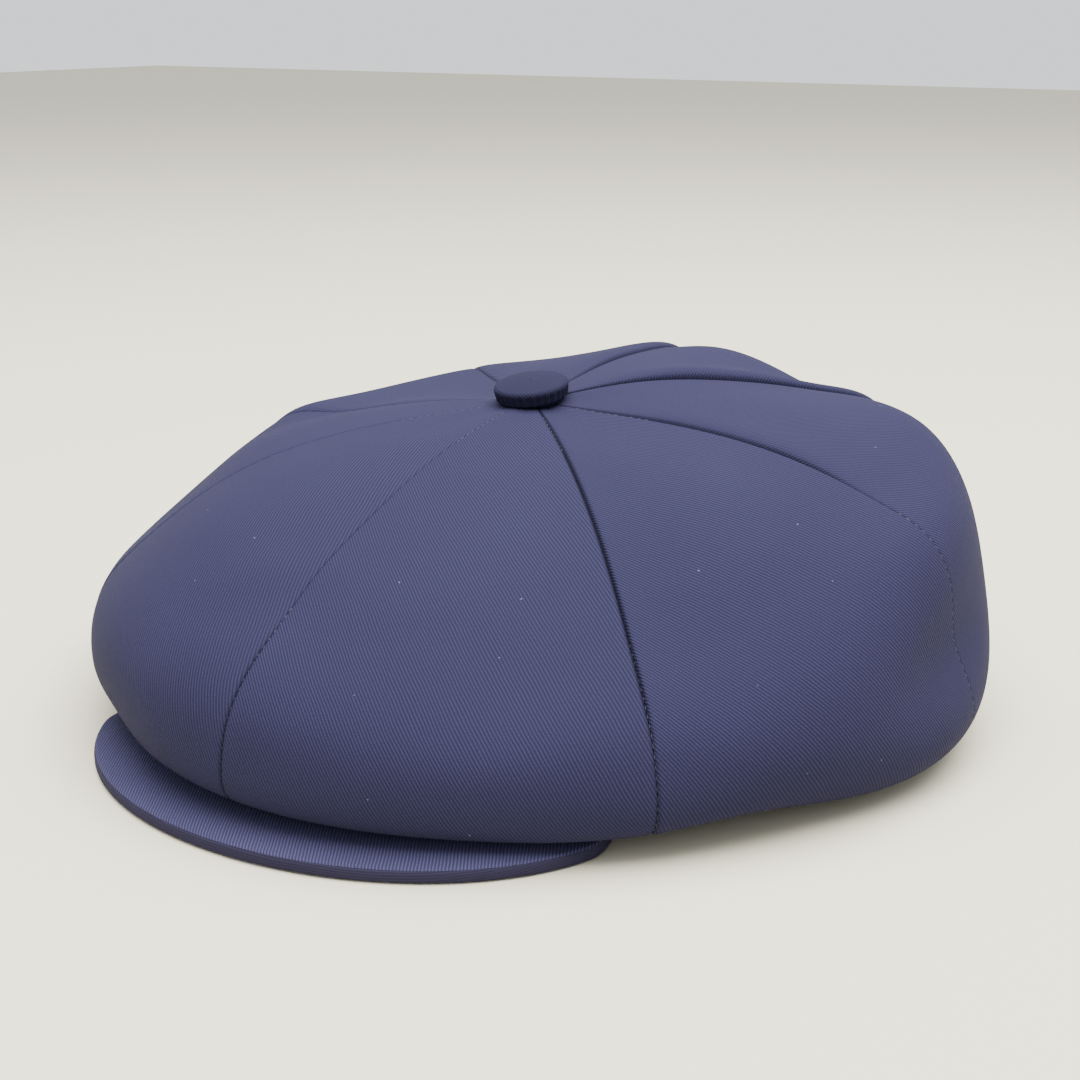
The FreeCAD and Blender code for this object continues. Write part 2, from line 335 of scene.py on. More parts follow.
def groove_depth(number, down):
    """Depth in mm of a seam's groove down its length."""
    top, bottom, change = SEAM_LOOK[number % 8][:3]
    return bottom + (top - bottom) * fade(down, change - 14, change + 14)


def seam_relief(number, side, distance, down, reach):
    """Displacement in mm beside a seam; side 0 is the gore before it and 1 the one after."""
    before, after, width, end = SEAM_LOOK[number % 8][3:]
    small = np.clip(reach / 26, 0.15, 1)
    distance = distance / small
    grows = 1 - fade(down, 8, 55)
    height = (before, after)[side] * grows * fade(down, end, end + 40)
    pull = 1 + np.where(down > 120, 0.45, 0.15) * np.cos(2 * np.pi * down / STITCH)
    sunk = groove_depth(number, down) * np.exp(-(distance / GROOVE) ** 2) * pull
    return height * lip(distance, width) - sunk * np.clip(small, 0.4, 1)


# %% Build one gore
GORE_COLUMNS = 71
GORE_ROWS = 241
CLOTH = 1.0 * MM


def gore_surface(number, rows, columns):
    """Grid of points, flat pattern and column shares of gore number."""
    share = np.linspace(0, 1, columns)
    share = 0.0008 + 0.9984 * (share - 0.13 * np.sin(2 * np.pi * share))
    surface = np.zeros((rows, columns, 3))
    pattern = np.zeros((rows, columns, 2))
    for j, part in enumerate(share):
        azimuth = 45 * (number + part)
        reach, height = crown_line(azimuth)
        steps = np.hypot(np.diff(reach), np.diff(height))
        length = np.concatenate([[0], np.cumsum(steps)])
        wanted = np.linspace(0, length[-1], rows)
        reach = np.interp(wanted, length, reach)
        height = np.interp(wanted, length, height)
        way_x, way_y = heading(azimuth)
        surface[:, j] = np.stack([AXIS_X + way_x * reach, AXIS_Y + way_y * reach, height], 1)
        pattern[:, j, 0] = reach / MM * math.radians(45) * (part - 0.5)
        pattern[:, j, 1] = wanted / MM
    return surface, pattern, share


def swell(azimuth, down):
    """Height in mm of the crown's soft swells at a place on it."""
    total = np.zeros(np.broadcast(azimuth, down).shape)
    for centre, place, wide, long, height in SWELLS:
        turn = (azimuth - centre + 180) % 360 - 180
        total += height * np.exp(-(turn / wide) ** 2 - ((down - place) / long) ** 2)
    return total


def dressed(number, rows, columns):
    """The gore's outer surface with relief, its pattern and its painted seam shade."""
    surface, pattern, share = gore_surface(number, rows, columns)
    reach = np.hypot(surface[..., 0] - AXIS_X, surface[..., 1] - AXIS_Y) / MM
    down = pattern[..., 1]
    span = reach * math.radians(45)
    before, after = span * share, span * (1 - share)
    relief = seam_relief(number, 1, before, down, reach)
    relief += seam_relief(number + 1, 0, after, down, reach)
    relief += swell(45 * (number + share)[None, :], down)
    near_hem = fade(down, down.max() - 22, down.max() - 6)
    normal = grid_normals(surface, False)
    surface = surface + normal * (relief * near_hem)[..., None] * MM
    # Painted shade: the colour is darkened along each seam's groove, more where the groove is deeper,
    # where the groove's shadow falls
    shade = np.exp(-(before / GROOVE) ** 2) * np.clip(groove_depth(number, down) / 0.7, 0.1, 1)
    shade += np.exp(-(after / GROOVE) ** 2) * np.clip(groove_depth(number + 1, down) / 0.7, 0.1, 1)
    return surface, pattern, np.clip(shade, 0, 1)


gores = []
for number, place in enumerate(GORES):
    surface, pattern, shade = dressed(number, GORE_ROWS, GORE_COLUMNS)
    piece = cloth_piece("crown_gore_" + place, surface, pattern, CLOTH, marks=shade)
    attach(piece, "crown")
    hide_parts("gore_" + place)
    gores.append(piece)
print("gores:", len(gores), "faces each:", len(gores[0].data.polygons))


# %% [markdown]
# ## Seam thread
# Where a seam is pulled, the thread shows between the two folds as short dark dashes. Each
# dash is a small rounded bead of thread laid in the groove, one every 2.8 millimetres.

# %% Thread along the seams
def beads(name, places, along, out, length, width):
    """Rounded thread dashes: centres, directions and outward normals are given as arrays."""
    ring, rows = 6, 5
    points, faces = [], []
    for centre, way, up in zip(places, along, out):
        side = np.cross(way, up)
        first = len(points)
        for i in range(rows):
            turn = -0.5 * math.pi + math.pi * (i + 0.5) / rows
            for k in range(ring):
                angle = 2 * math.pi * k / ring
                round_off = math.cos(turn) * width / 2
                points.append(centre + way * math.sin(turn) * length / 2
                              + (side * math.cos(angle) + up * math.sin(angle)) * round_off)
        for i in range(rows - 1):
            for k in range(ring):
                a, b = first + i * ring + k, first + i * ring + (k + 1) % ring
                faces.append([b, a, a + ring, b + ring])
        faces.append([first + k for k in range(ring)])
        faces.append([first + (rows - 1) * ring + k for k in range(ring)][::-1])
    mesh = bpy.data.meshes.new(name)
    mesh.from_pydata([list(point) for point in points], [], faces)
    mesh.polygons.foreach_set("use_smooth", [True] * len(mesh.polygons))
    mesh.update()
    piece = bpy.data.objects.new(name, mesh)
    bpy.context.scene.collection.objects.link(piece)
    return piece


def unit(rows):
    return rows / np.linalg.norm(rows, axis=-1, keepdims=True)


seam_threads = []
for number in range(8):
    surface, pattern, _ = dressed(number, GORE_ROWS, 41)
    normal = grid_normals(surface, False)[:, 0]
    line = surface[:, 0]
    down = pattern[:, 0, 1]
    stops = np.arange(14, down[-1] - 10, STITCH)
    stops = stops[(stops < 40) | (stops > 125)]
    place = np.stack([np.interp(stops, down, line[:, k]) for k in range(3)], 1)
    out = unit(np.stack([np.interp(stops, down, normal[:, k]) for k in range(3)], 1))
    along = unit(np.gradient(place, axis=0))
    out = unit(out - along * (out * along).sum(1, keepdims=True))
    thread = beads("seam_thread_%d" % (number + 1), place - out * 0.10 * MM, along, out,
                   1.6 * MM, 0.36 * MM)
    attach(thread, "crown")
    seam_threads.append(thread)
print("seam threads:", len(seam_threads))


# %% [markdown]
# ## The short brim
# A brim is a stiff board between two cloths. The upper cloth is cut as one curved piece and
# its ribs run slanted to the front, and the two are turned together at the edge, which is a
# smooth rounded band about four millimetres tall. The outline is part of an oval whose front
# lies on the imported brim's box, and each cover is again a grid with its flat pattern.

# %% The brim's shape
BRIM_HALF_X = 91 * MM
BRIM_HALF_Y = 70 * MM
BRIM_CENTRE = np.array([2 * MM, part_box("brim_cover_bottom")[0].y + BRIM_HALF_Y - AXIS_Y])
BRIM_HALF = 2.1 * MM        # half its thickness with both cloths
BRIM_ARCH = 0.8 * MM
BRIM_DROP = 1.6 * MM        # its root lies this far under the band's edge
BRIM_TURN = 50.5            # it reaches this many degrees round to both sides
BRIM_NOSE = 1.7 * MM        # how far its edge is rounded


def brim_edge(azimuth):
    """Distance from the button's axis to the brim's outer edge."""
    way = np.array(heading(azimuth))
    sizes = np.array([BRIM_HALF_X, BRIM_HALF_Y])
    a = ((way / sizes) ** 2).sum()
    b = -2 * (way * BRIM_CENTRE / sizes ** 2).sum()
    c = ((BRIM_CENTRE / sizes) ** 2).sum() - 1
    return (-b + math.sqrt(max(b * b - 4 * a * c, 0))) / (2 * a)


def brim_middle(azimuth):
    """Reach of the brim's inner and outer edge, and its middle height at both."""
    inner = band_reach(azimuth) + 0.5 * MM
    taper = (39, 52) if azimuth > 0 else (35, 49)
    width = (brim_edge(azimuth) - inner) * fade(abs(azimuth), *taper)
    outer = inner + max(width, 3 * MM)
    inner_height = band_edge(azimuth) - BRIM_DROP + BRIM_HALF
    rest = BRIM_HALF + 0.1 * MM
    return inner, outer, inner_height, rest + (inner_height - rest) * (1 - fade(abs(azimuth), 38, 52))


def brim_section(azimuth, start, end, rows):
    """Points across the brim: from its inner edge (start or end beyond a right angle) to
    an angle round its rounded edge, where 90 degrees is the upper face."""
    inner, outer, inner_height, outer_height = brim_middle(azimuth)
    width = outer - inner
    nose = min(BRIM_NOSE, width * 0.3)
    flat_rows = rows * 2 // 3
    shares = np.linspace(0, 1, flat_rows) ** 0.8 * (width - nose)
    sign = 1 if start > 0 else -1
    turns = np.radians(np.linspace(start, end, rows - flat_rows + 1)[1:])
    round_x = width - nose + nose * np.cos(turns) ** 0.7
    round_z = BRIM_HALF * np.sign(np.sin(turns)) * np.abs(np.sin(turns)) ** 0.7
    along = np.concatenate([shares, round_x])
    offset = np.concatenate([np.full(flat_rows, sign * BRIM_HALF), round_z])
    share = np.clip(along / width, 0, 1)
    arch = BRIM_ARCH * np.sin(np.pi * share) * min(1, width / (30 * MM))
    height = inner_height + (outer_height - inner_height) * share + arch + offset
    reach = inner + along
    way_x, way_y = heading(azimuth)
    return np.stack([AXIS_X + way_x * reach, AXIS_Y + way_y * reach, height], 1)


BRIM_COLUMNS = 181
BRIM_ROWS = 60
EDGE_SEAM = 48.0


def brim_cover(name, start, end, node, slanted):
    """One cloth of the brim, from its inner edge to the seam on its rounded edge."""
    azimuths = BRIM_TURN * np.sin(np.radians(np.linspace(-90, 90, BRIM_COLUMNS)))
    lines = [brim_section(turn, start, end, BRIM_ROWS) for turn in azimuths]
    surface = np.stack(lines, axis=1)
    steps = np.linalg.norm(np.diff(surface, axis=0), axis=2)
    length = np.concatenate([np.zeros((1, BRIM_COLUMNS)), np.cumsum(steps, axis=0)])
    pattern = np.zeros(surface.shape[:2] + (2,))
    if slanted:
        reach = np.array([band_reach(turn) for turn in azimuths])[None] + length
        pattern[..., 0] = reach * np.sin(np.radians(azimuths))[None] / MM
        pattern[..., 1] = reach * np.cos(np.radians(azimuths))[None] / MM
    else:
        pattern[..., 0] = length / MM
        pattern[..., 1] = np.radians(azimuths)[None] * 140
    if start < 0:
        surface, pattern = surface[:, ::-1], pattern[:, ::-1]
    piece = cloth_piece(name, surface, pattern, 1.0 * MM)
    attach(piece, "brim")
    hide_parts(node)
    return piece


brim_top = brim_cover("brim_upper_cloth", 90, EDGE_SEAM, "brim_cover_top", True)
brim_under = brim_cover("brim_under_cloth", -90, EDGE_SEAM - 2, "brim_cover_bottom", False)
for piece in (brim_top, brim_under):
    print(piece.name, "faces:", len(piece.data.polygons))


# %% [markdown]
# ## The covered button
# The button is a flat-topped metal shell with a disc of the same cloth gathered round it.
# The cloth is smooth on top, and it has to lose its fullness on the way down the side, so
# it folds into many small pleats there. The disc is drawn from its centre outwards and
# every point remembers where it lay on the flat disc, so the ribs run over the edge. Its
# gathered rim goes down to the sloping crown, which closes the gap under the tilted button.

# %% Button cover
button_low, button_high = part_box("button_cover")
BUTTON_X = (button_low.x + button_high.x) / 2
BUTTON_Y = (button_low.y + button_high.y) / 2
BUTTON_RADIUS = (button_high.x - button_low.x) / 2
BUTTON_TILT = Matrix.Rotation(math.radians(9), 3, "X") @ Matrix.Rotation(math.radians(-2), 3, "Y")
BUTTON_TALL = 6.2 * MM
PLEATS = 31
NECK = 4.5 * MM             # the cloth is gathered inwards by this much underneath
OUTLINE_STEPS = 28
COVER_LOOSE = 0.25 * MM


def button_outline(steps):
    """Radius and height of the cover from the middle of its top to its tucked-in edge."""
    corner = 1.5 * MM
    dome = 0.8 * MM
    r_flat = np.linspace(0.02 * MM, BUTTON_RADIUS - corner, steps)
    z_flat = -dome * (r_flat / (BUTTON_RADIUS - corner)) ** 2
    turn = np.linspace(80, -10, steps // 2) * np.pi / 180
    r_round = BUTTON_RADIUS - corner + corner * np.cos(turn)
    z_round = -dome - corner + corner * np.sin(turn)
    r_side = np.linspace(BUTTON_RADIUS - 0.05 * MM, BUTTON_RADIUS - 0.5 * MM, steps // 2)
    z_side = np.linspace(z_round[-1] - 0.3 * MM, -BUTTON_TALL + 0.8 * MM, steps // 2)
    r_under = np.linspace(BUTTON_RADIUS - 1.2 * MM, BUTTON_RADIUS - NECK, steps // 3)
    z_under = np.linspace(-BUTTON_TALL + 0.35 * MM, -BUTTON_TALL + 0.3 * MM, steps // 3)
    return (np.concatenate([r_flat, r_round, r_side, r_under]),
            np.concatenate([z_flat, z_round, z_side, z_under]))


radius, height = button_outline(OUTLINE_STEPS)
steps = np.hypot(np.diff(radius), np.diff(height))
length = np.concatenate([[0], np.cumsum(steps)]) / MM
turns = np.linspace(0, 2 * np.pi, 241)
pleat_phase = 0.35 * np.sin(3 * turns + 1.1) + 0.25 * np.sin(7 * turns + 0.3)
pleats = 0.5 + 0.5 * np.cos(PLEATS * turns + 3 * pleat_phase)
deep = (1 - fade(-height, 1.5 * MM, 4.0 * MM))[:, None] * 0.45 * MM
around = radius[:, None] + COVER_LOOSE - deep * (1 - pleats[None]) ** 1.5
button_points = np.stack([
    around * np.sin(turns)[None],
    -around * np.cos(turns)[None],
    np.repeat(height[:, None], len(turns), axis=1)], axis=2)
tilt = np.array(BUTTON_TILT)
button_points = button_points @ tilt.T
top_height = button_high.z - (button_points[..., 2]).max()
button_points += np.array([BUTTON_X, BUTTON_Y, top_height])
crown_below = np.array([np.interp(BUTTON_RADIUS - NECK, *crown_line(math.degrees(turn)))
                        for turn in turns])
gap = np.clip(button_points[-1, :, 2] - crown_below + 0.3 * MM, 0, 6 * MM)
under_rows = OUTLINE_STEPS // 3
neck_share = np.clip((np.arange(len(radius)) - len(radius) + under_rows) / (under_rows - 1), 0, 1)
button_points[..., 2] -= np.sqrt(neck_share)[:, None] * gap[None]
print("cloth under the button, mm:", round(gap.min() / MM, 1), "to", round(gap.max() / MM, 1))
button_pattern = np.stack([length[:, None] * np.sin(turns)[None],
                           length[:, None] * np.cos(turns)[None]], axis=2)
button_cover = cloth_piece("button_cloth", button_points, button_pattern, 0.5 * MM, ring=True)
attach(button_cover, "crown")
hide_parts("button_cover")
print("button cover faces:", len(button_cover.data.polygons))


# %% [markdown]
# ## Inside: lining, band and sweatband
# These are hidden from most sides, yet a cap is picked up and turned over. The lining is
# eight satin gores a little smaller than the crown. The stiff band is folded canvas, and
# the sweatband inside it is a strip of twill.

# %% Lining gores
LINING_DEPTH = 2.3 * MM
for number, place in enumerate(GORES):
    surface, pattern, share = gore_surface(number, 121, 33)
    normal = grid_normals(surface, False)
    down = pattern[..., 1]
    loose = 0.5 * MM * np.sin(down / 9 + 1.7 * number)[..., None]
    hang = fade(down, down.max() - 30, down.max() - 12)[..., None]
    follow = swell(45 * (number + share)[None, :], down) * fade(down, down.max() - 22, down.max() - 6)
    surface = surface + normal * (follow[..., None] * MM - LINING_DEPTH - loose * hang)
    piece = cloth_piece("lining_gore_" + place, surface, pattern, 0.4 * MM)
    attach(piece, "crown")
    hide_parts("lining_" + place)
print("lining gores:", len(GORES))


# %% Band and sweatband
def band_ring(name, node, depth, thickness, tall, raised, rounded):
    """An upright strip of cloth round the head, following the band's tilted lower edge."""
    azimuths = np.linspace(0, 360, 241)
    heights = np.linspace(0, 1, 25)
    surface = np.zeros((len(heights), len(azimuths), 3))
    pattern = np.zeros((len(heights), len(azimuths), 2))
    girth = 0.0
    for j, azimuth in enumerate(azimuths):
        way_x, way_y = heading(azimuth)
        reach = band_reach(azimuth, depth)
        bulge = rounded * (1 - (2 * heights - 1) ** 6)
        surface[:, j, 0] = AXIS_X + way_x * (reach - rounded + bulge)
        surface[:, j, 1] = AXIS_Y + way_y * (reach - rounded + bulge)
        surface[:, j, 2] = band_edge(azimuth) + raised + tall * (1 - heights)
        if j:
            girth += np.linalg.norm(surface[0, j] - surface[0, j - 1])
        pattern[:, j, 0] = girth / MM
        pattern[:, j, 1] = heights * tall / MM
    piece = cloth_piece(name, surface, pattern, thickness, ring=True)
    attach(piece, "crown")
    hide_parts(node)
    return piece


BAND_TALL = 30 * MM
head_band = band_ring("head_band", "headband", 0.0, 1.4 * MM, BAND_TALL, 0.0, 0.2 * MM)
sweat_low, sweat_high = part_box("sweatband")
SWEAT_DEPTH = BAND_HALF_X - (sweat_high.x - sweat_low.x) / 2
sweat_band = band_ring("sweat_band", "sweatband", SWEAT_DEPTH, 0.9 * MM, 28 * MM, 1.0 * MM, 0.15 * MM)
print("band faces:", len(head_band.data.polygons), len(sweat_band.data.polygons))


# %% [markdown]
# ## Twill
# Twill is woven so that each crossing steps one yarn sideways, which raises slanted ribs
# about a millimetre apart. An image texture would fix the scale and the sewing would cut
# through it. The shared group below draws the ribs from the flat pattern in millimetres, so
# they are cut off at every seam just as they are on the sewn cap. It returns a height for
# the Bump node and a mask that is bright on top of a rib.

# %% Shared group: twill ribs
def group(name, inputs, outputs):
    """An empty shader node group with these sockets; inputs carry a default."""
    tree = bpy.data.node_groups.new(name, "ShaderNodeTree")
    for label, kind, value in inputs:
        socket = tree.interface.new_socket(label, in_out="INPUT", socket_type=kind)
        if value is not None:
            socket.default_value = value
    for label, kind in outputs:
        tree.interface.new_socket(label, in_out="OUTPUT", socket_type=kind)
    return tree, tree.nodes.new("NodeGroupInput"), tree.nodes.new("NodeGroupOutput")


def sums(tree, kind, first, second=None, third=None):
    """A Math node; each input is a number or another node's socket."""
    node = tree.nodes.new("ShaderNodeMath")
    node.operation = kind
    for slot, value in enumerate((first, second, third)):
        if value is None:
            continue
        if isinstance(value, (int, float)):
            node.inputs[slot].default_value = value
        else:
            tree.links.new(value, node.inputs[slot])
    return node.outputs[0]


def noise(tree, place, scale, detail=2.0, rough=0.5):
    """Noise between 0 and 1 at a place; scale is in cycles per millimetre."""
    node = tree.nodes.new("ShaderNodeTexNoise")
    node.inputs["Scale"].default_value = scale
    node.inputs["Detail"].default_value = detail
    node.inputs["Roughness"].default_value = rough
    tree.links.new(place, node.inputs["Vector"])
    return node.outputs["Fac"]


twill_group, given, result = group(
    "Twill ribs",
    (("Pattern", "NodeSocketVector", None), ("Pitch", "NodeSocketFloat", 1.12),
     ("Slant", "NodeSocketFloat", 0.5)),
    (("Height", "NodeSocketFloat"), ("Rib", "NodeSocketFloat")))
tree = twill_group
apart = tree.nodes.new("ShaderNodeSeparateXYZ")
tree.links.new(given.outputs["Pattern"], apart.inputs[0])
cos_slant = sums(tree, "COSINE", given.outputs["Slant"])
sin_slant = sums(tree, "SINE", given.outputs["Slant"])
across = sums(tree, "SUBTRACT", sums(tree, "MULTIPLY", apart.outputs[0], cos_slant),
              sums(tree, "MULTIPLY", apart.outputs[1], sin_slant))
along = sums(tree, "ADD", sums(tree, "MULTIPLY", apart.outputs[0], sin_slant),
             sums(tree, "MULTIPLY", apart.outputs[1], cos_slant))
waver = sums(tree, "MULTIPLY", sums(tree, "SUBTRACT",
             noise(tree, given.outputs["Pattern"], 0.06), 0.5), 1.1)
across = sums(tree, "ADD", across, waver)
turn = sums(tree, "MULTIPLY", sums(tree, "DIVIDE", across, given.outputs["Pitch"]), 2 * math.pi)
rib = sums(tree, "MULTIPLY_ADD", sums(tree, "COSINE", turn), 0.5, 0.5)
yarn_turn = sums(tree, "ADD", sums(tree, "MULTIPLY", along, 2 * math.pi / 0.62),
                 sums(tree, "MULTIPLY", turn, 0.5))
yarn = sums(tree, "MULTIPLY_ADD", sums(tree, "COSINE", yarn_turn), 0.5, 0.5)
uneven = noise(tree, given.outputs["Pattern"], 1.6, 3.0, 0.6)
strength = sums(tree, "MULTIPLY_ADD", uneven, 1.5, 0.2)
mask = sums(tree, "MULTIPLY", rib, strength)
tree.links.new(mask, result.inputs["Rib"])
height = sums(tree, "MULTIPLY_ADD", yarn, sums(tree, "MULTIPLY", rib, 0.22), mask)
tree.links.new(height, result.inputs["Height"])
print("shared group:", twill_group.name)


# %% [markdown]
# ## The colour of navy cloth, with painted light and shade
# The cloth's own colour is navy with wide patches that fade a little and here and there a
# fleck of lint. Over it, rib tops are painted lighter and the hollows between them darker, as light
# would fall on them, and the folds along a seam get painted shade. This group mixes these into one
# colour and one roughness and leaves the reflections to the material.

# %% Shared group: cloth tone
tone_group, given, result = group(
    "Cloth tone",
    (("Pattern", "NodeSocketVector", None), ("Rib", "NodeSocketFloat", 0.5),
     ("Seam", "NodeSocketFloat", 0.0), ("Hollow", "NodeSocketColor", (0.03, 0.03, 0.07, 1)),
     ("Ridge", "NodeSocketColor", (0.08, 0.09, 0.18, 1)), ("Lint", "NodeSocketFloat", 1.0)),
    (("Color", "NodeSocketColor"), ("Roughness", "NodeSocketFloat")))
tree = tone_group


def blended(tree, share, first, second, kind="MIX"):
    """Colour mix; first, second and share are sockets or constant values."""
    node = tree.nodes.new("ShaderNodeMix")
    node.data_type = "RGBA"
    node.blend_type = kind
    for socket, value in ((node.inputs[0], share), (node.inputs[6], first), (node.inputs[7], second)):
        if isinstance(value, (int, float, tuple)):
            socket.default_value = value
        else:
            tree.links.new(value, socket)
    return node.outputs[2]


# painted light and shade on the ribs: rib tops get the lighter colour and the hollows the darker one;
# the ribs themselves are the cloth's own weave
weave = blended(tree, given.outputs["Rib"], given.outputs["Hollow"], given.outputs["Ridge"])
patches = noise(tree, given.outputs["Pattern"], 0.018, 3.0)
gain = sums(tree, "MULTIPLY_ADD", patches, 0.30, 0.85)
fuzz = noise(tree, given.outputs["Pattern"], 2.8, 2.0, 0.7)
gain = sums(tree, "MULTIPLY", gain, sums(tree, "MULTIPLY_ADD", fuzz, 0.60, 0.70))
# painted shade along the seams' grooves darkens the colour by up to 72 percent
shadow = sums(tree, "MULTIPLY_ADD", given.outputs["Seam"], -0.72, 1.0)
gain = sums(tree, "MULTIPLY", gain, shadow)
lit = tree.nodes.new("ShaderNodeVectorMath")
lit.operation = "SCALE"
tree.links.new(weave, lit.inputs[0])
tree.links.new(gain, lit.inputs["Scale"])
specks = tree.nodes.new("ShaderNodeTexVoronoi")
specks.inputs["Scale"].default_value = 0.085
tree.links.new(given.outputs["Pattern"], specks.inputs["Vector"])
near = sums(tree, "LESS_THAN", specks.outputs["Distance"], 0.022)
rare = sums(tree, "MULTIPLY", sums(tree, "MULTIPLY", near, given.outputs["Lint"]), 0.30)
final = blended(tree, rare, lit.outputs[0], (0.30, 0.30, 0.36, 1))
tree.links.new(final, result.inputs["Color"])
rough = sums(tree, "MULTIPLY_ADD", patches, 0.12, 0.74)
tree.links.new(rough, result.inputs["Roughness"])
print("shared group:", tone_group.name)


# %% Twill materials
def use_group(tree, shared, **values):
    node = tree.nodes.new("ShaderNodeGroup")
    node.node_tree = shared
    for label, value in values.items():
        if isinstance(value, bpy.types.NodeSocket):
            tree.links.new(value, node.inputs[label])
        else:
            node.inputs[label].default_value = value
    return node


def twill(name, pitch, slant, shaded_hollow, lit_ridge, depth, lint=1.0, seams=False, sheen=0.015):
    """A woven cloth: ribs this far apart in mm, slanted from the pattern's length."""
    material = bpy.data.materials.new(name)
    material.use_nodes = True
    tree = material.node_tree
    surface = tree.nodes["Principled BSDF"]
    where = tree.nodes.new("ShaderNodeUVMap")
    where.uv_map = "pattern_mm"
    ribs = use_group(tree, twill_group, Pattern=where.outputs[0], Pitch=pitch,
                     Slant=math.radians(slant))
    tone = use_group(tree, tone_group, Pattern=where.outputs[0], Rib=ribs.outputs["Rib"],
                     Hollow=shaded_hollow, Ridge=lit_ridge, Lint=lint)
    # the seam_shade attribute feeds painted shade along the seams
    if seams:
        shade = tree.nodes.new("ShaderNodeAttribute")
        shade.attribute_name = "seam_shade"
        tree.links.new(shade.outputs["Fac"], tone.inputs["Seam"])
    bump = tree.nodes.new("ShaderNodeBump")
    bump.inputs["Strength"].default_value = 1.0
    bump.inputs["Distance"].default_value = depth * MM
    tree.links.new(ribs.outputs["Height"], bump.inputs["Height"])
    tree.links.new(tone.outputs["Color"], surface.inputs["Base Color"])
    tree.links.new(tone.outputs["Roughness"], surface.inputs["Roughness"])
    tree.links.new(bump.outputs["Normal"], surface.inputs["Normal"])
    surface.inputs["Specular IOR Level"].default_value = 0.05
    surface.inputs["Sheen Weight"].default_value = sheen
    surface.inputs["Sheen Roughness"].default_value = 0.45
    surface.inputs["Sheen Tint"].default_value = (0.68, 0.66, 0.98, 1)
    return material


# In every twill below, the first colour is painted shade in the rib hollows and the second painted
# light on the rib tops, both the same dyed cloth
NAVY_SHADED_HOLLOW = (0.0125, 0.0118, 0.0285, 1)
NAVY_LIT_RIDGE = (0.0240, 0.0232, 0.0575, 1)
BRIM_SHADED_HOLLOW = (0.0230, 0.0220, 0.0480, 1)
BRIM_LIT_RIDGE = (0.0560, 0.0540, 0.1180, 1)
crown_cloth = twill("Navy twill, crown", 0.92, 32.0, NAVY_SHADED_HOLLOW, NAVY_LIT_RIDGE, 0.09, seams=True)
brim_cloth = twill("Navy twill, brim", 0.90, 28.0, BRIM_SHADED_HOLLOW, BRIM_LIT_RIDGE, 0.14, lint=0.4)
# The brim's under cloth wraps its rounded edge and is coloured darker and warmer than the upper
# cloth: painted shade on the edge, with a warm tint standing in for light bounced from the floor
shaded_edge_cloth = twill("Navy twill, brim edge", 0.8, 0.0, (0.0190, 0.0170, 0.0350, 1),
                    (0.0270, 0.0245, 0.0500, 1), 0.04, lint=0.4)
button_cloth = twill("Navy twill, button", 0.92, 60.0, (0.0090, 0.0087, 0.0215, 1),
                     (0.0150, 0.0145, 0.0365, 1), 0.06, lint=0.2)
band_cloth = twill("Navy canvas, band", 0.8, 45.0, (0.015, 0.015, 0.030, 1),
                   (0.030, 0.029, 0.062, 1), 0.10, lint=0.2)
sweat_cloth = twill("Black twill, sweatband", 0.9, 45.0, (0.010, 0.010, 0.016, 1),
                    (0.030, 0.030, 0.042, 1), 0.10, lint=0.5)
satin = twill("Dark satin, lining", 0.45, 12.0, (0.016, 0.017, 0.034, 1),
              (0.030, 0.032, 0.062, 1), 0.02, lint=0.0, sheen=0.05)
satin.node_tree.nodes["Principled BSDF"].inputs["Specular IOR Level"].default_value = 0.6


def dress(piece, material):
    piece.data.materials.clear()
    piece.data.materials.append(material)


for piece in gores:
    dress(piece, crown_cloth)
dress(brim_top, brim_cloth)
dress(brim_under, shaded_edge_cloth)
dress(button_cover, button_cloth)
dress(head_band, band_cloth)
dress(sweat_band, sweat_cloth)
for place in GORES:
    dress(bpy.data.objects["lining_gore_" + place], satin)


# %% [markdown]
# ## Thread, metal and board
# The remaining pieces are plain. Sewing thread is a darker navy than the cloth, the button
# inside is pressed aluminium with fine turning marks, and the brim has a board of grey plastic.

# %% Plain materials
def plain(name, color, rough, metallic=0.0, grain=0.4, depth=0.02, stretch=(1, 1, 1)):
    """A material with a little uneven colour and roughness, drawn from object space."""
    material = bpy.data.materials.new(name)
    material.use_nodes = True
    tree = material.node_tree
    surface = tree.nodes["Principled BSDF"]
    where = tree.nodes.new("ShaderNodeTexCoord")
    scaled = tree.nodes.new("ShaderNodeMapping")
    scaled.inputs["Scale"].default_value = [1000 * part for part in stretch]
    tree.links.new(where.outputs["Object"], scaled.inputs["Vector"])
    mottle = noise(tree, scaled.outputs[0], grain, 4.0, 0.6)
    dark = tuple(part * 0.82 for part in color) + (1,)
    light = tuple(min(1, part * 1.18) for part in color) + (1,)
    tree.links.new(blended(tree, mottle, dark, light), surface.inputs["Base Color"])
    tree.links.new(sums(tree, "MULTIPLY_ADD", mottle, 0.2, rough - 0.1), surface.inputs["Roughness"])
    bump = tree.nodes.new("ShaderNodeBump")
    bump.inputs["Distance"].default_value = depth * MM
    tree.links.new(mottle, bump.inputs["Height"])
    tree.links.new(bump.outputs["Normal"], surface.inputs["Normal"])
    surface.inputs["Metallic"].default_value = metallic
    return material


thread = plain("Navy thread", (0.020, 0.020, 0.045), 0.7, grain=2.5, depth=0.05)
metal = plain("Pressed aluminium", (0.62, 0.63, 0.65), 0.35, 1.0, 0.8, 0.01, (1, 1, 6))
board = plain("Grey board", (0.18, 0.18, 0.19), 0.6, 0.0, 0.6, 0.03)
for piece in seam_threads:
    dress(piece, thread)
for node, material in (("brim_board", board), ("button_shell", metal),
                       ("button_back", metal), ("button_washer", metal)):
    for slot in frame["nodes"][node].material_slots:
        slot.material = material
print("materials:", len(bpy.data.materials))


# %% [markdown]
# ## Floor, light and camera
# The cap sits on a plain pale floor under soft light from above, with a weak fill from the
# front. The camera looks down on it a little from the wearer's front left.

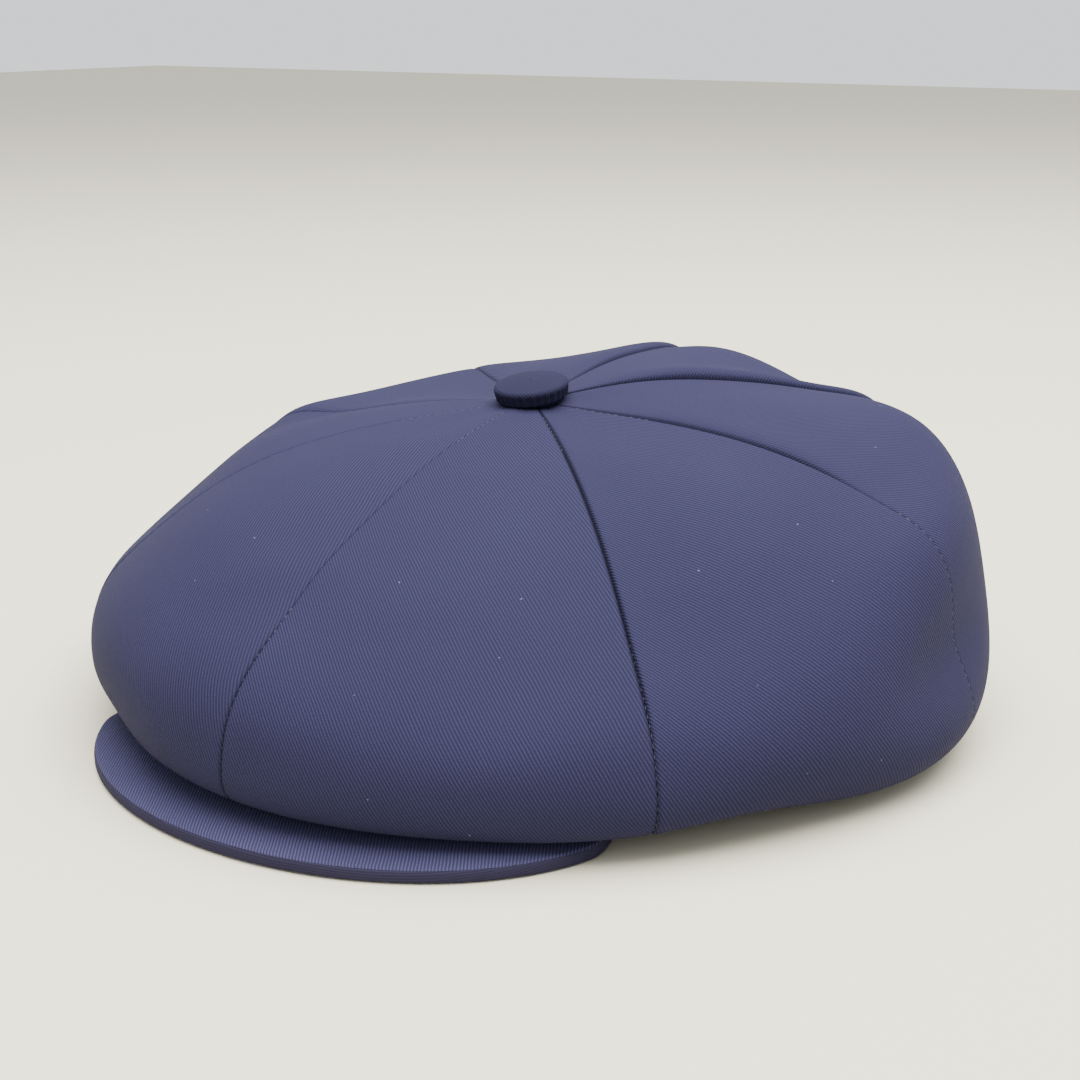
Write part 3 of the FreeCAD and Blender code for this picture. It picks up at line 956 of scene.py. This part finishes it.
# %% Floor and soft light
def floor_sheet():
    mesh = bpy.data.meshes.new("floor")
    size = 4.0
    mesh.from_pydata([(-size, -size, 0), (size, -size, 0), (size, size, 0), (-size, size, 0)],
                     [], [(0, 1, 2, 3)])
    sheet = bpy.data.objects.new("floor", mesh)
    bpy.context.scene.collection.objects.link(sheet)
    pale = bpy.data.materials.new("Pale floor")
    pale.use_nodes = True
    surface = pale.node_tree.nodes["Principled BSDF"]
    surface.inputs["Base Color"].default_value = (0.62, 0.585, 0.455, 1)
    surface.inputs["Roughness"].default_value = 0.9
    mesh.materials.append(pale)


floor_sheet()
world = bpy.data.worlds.new("Soft daylight")
bpy.context.scene.world = world
world.use_nodes = True
world.node_tree.nodes["Background"].inputs["Color"].default_value = (0.95, 0.97, 1.0, 1)
world.node_tree.nodes["Background"].inputs["Strength"].default_value = 1.25


def soft_light(name, place, size, power, color):
    light = bpy.data.lights.new(name, "AREA")
    light.size = size
    light.energy = power
    light.color = color
    lamp = bpy.data.objects.new(name, light)
    lamp.location = place
    lamp.rotation_euler = (-Vector(place)).to_track_quat("-Z", "Y").to_euler()
    bpy.context.scene.collection.objects.link(lamp)


soft_light("ceiling", (0.15, 0.1, 1.5), 1.8, 124, (1.0, 0.98, 0.95))
soft_light("fill", (0.2, -1.3, 1.0), 1.2, 3, (0.92, 0.95, 1.0))
print("lights:", len(bpy.data.lights))

# %% Camera
YAW, PITCH, DISTANCE, LENS = 32.21, 17.0, 0.59169, 59.31
yaw, pitch = math.radians(YAW), math.radians(PITCH)
back = Vector((math.sin(yaw) * math.cos(pitch), -math.cos(yaw) * math.cos(pitch),
               math.sin(pitch)))
right = Vector((math.cos(yaw), math.sin(yaw), 0))
up = back.cross(right)
aim = Vector((AXIS_X, AXIS_Y, 45.1 * MM)) + right * 2.7 * MM + up * 0.54 * MM
camera = bpy.data.objects.new("camera", bpy.data.cameras.new("camera"))
camera.data.sensor_width = 36
camera.data.lens = LENS
camera.matrix_world = Matrix.Translation(aim + back * DISTANCE) @ Matrix(
    (right, up, back)).transposed().to_4x4()
bpy.context.scene.collection.objects.link(camera)
bpy.context.scene.camera = camera
